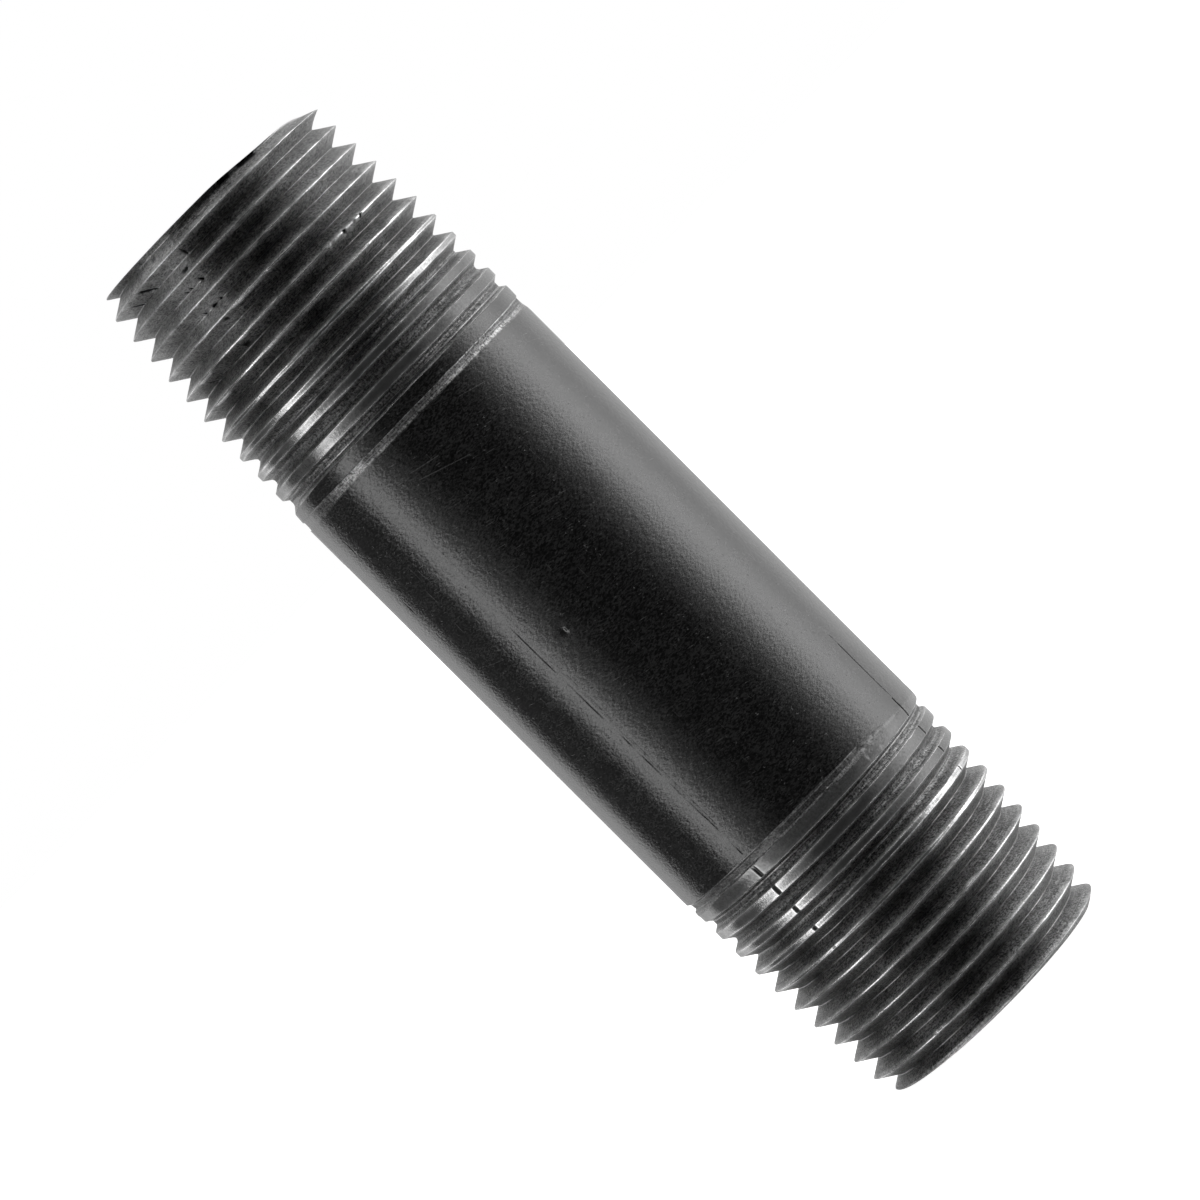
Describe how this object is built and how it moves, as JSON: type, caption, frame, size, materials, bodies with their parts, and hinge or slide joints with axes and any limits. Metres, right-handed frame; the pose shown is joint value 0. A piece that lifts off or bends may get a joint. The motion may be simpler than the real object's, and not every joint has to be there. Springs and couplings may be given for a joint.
{
  "type": "threaded pipe nipple",
  "caption": "Short length of black steel pipe with a tapered male pipe thread on each end, for joining two female threaded fittings.",
  "frame": {"origin": "centre of the lower end face, which the nipple stands on", "axes": "+Z along the pipe's axis from the lower to the upper threaded end; the weld seam is 239 degrees counter-clockwise from +X, seen from +Z"},
  "size_m": [0.0214, 0.0214, 0.0766],
  "materials": {
    "lacquered_pipe": "black lacquer over mill scale, semi-gloss, finely scratched",
    "weld_seam": "lacquered weld line, slightly duller than the pipe",
    "cut_thread": "die-cut steel darkened by cutting oil and lacquer, bright on worn crests"
  },
  "bodies": {
    "root": {"pipe_barrel": "lacquered_pipe", "weld_seam": "weld_seam", "upper_threaded_end": "cut_thread", "lower_threaded_end": "cut_thread"}
  },
  "joints": []
}
